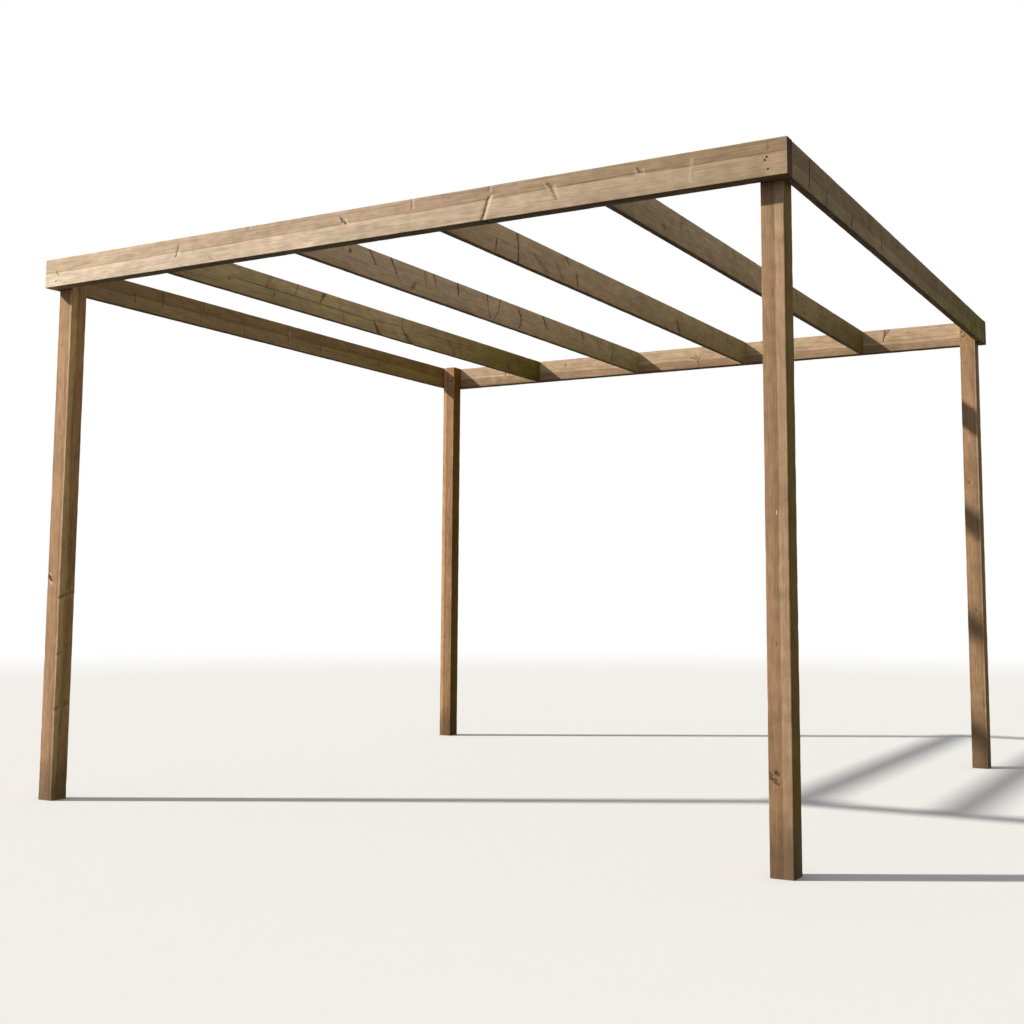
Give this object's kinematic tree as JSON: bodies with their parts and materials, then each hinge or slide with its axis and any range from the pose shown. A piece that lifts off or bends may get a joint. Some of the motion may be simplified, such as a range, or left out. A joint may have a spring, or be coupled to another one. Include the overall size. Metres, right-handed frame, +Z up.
{
  "type": "wooden pergola",
  "caption": "Free-standing open pergola of planed timber: square corner posts carry a flat beam frame, with rafters on edge set flush between the front and rear beams.",
  "frame": {"origin": "on the ground, in the middle of the plan of the frame", "axes": "+X to the right along the front beam, +Y from the front beam to the rear beam, +Z up"},
  "size_m": [3.8, 3.66, 2.61],
  "materials": {
    "treated_softwood": "planed pressure-treated softwood, weathered tan-brown, matt"
  },
  "bodies": {
    "root": {"beam_front": "treated_softwood", "beam_rear": "treated_softwood", "beam_left": "treated_softwood", "beam_right": "treated_softwood", "post_front_left": "treated_softwood", "post_front_right": "treated_softwood", "post_rear_left": "treated_softwood", "post_rear_right": "treated_softwood", "rafter_1": "treated_softwood", "rafter_2": "treated_softwood", "rafter_3": "treated_softwood", "rafter_4": "treated_softwood"}
  },
  "joints": []
}
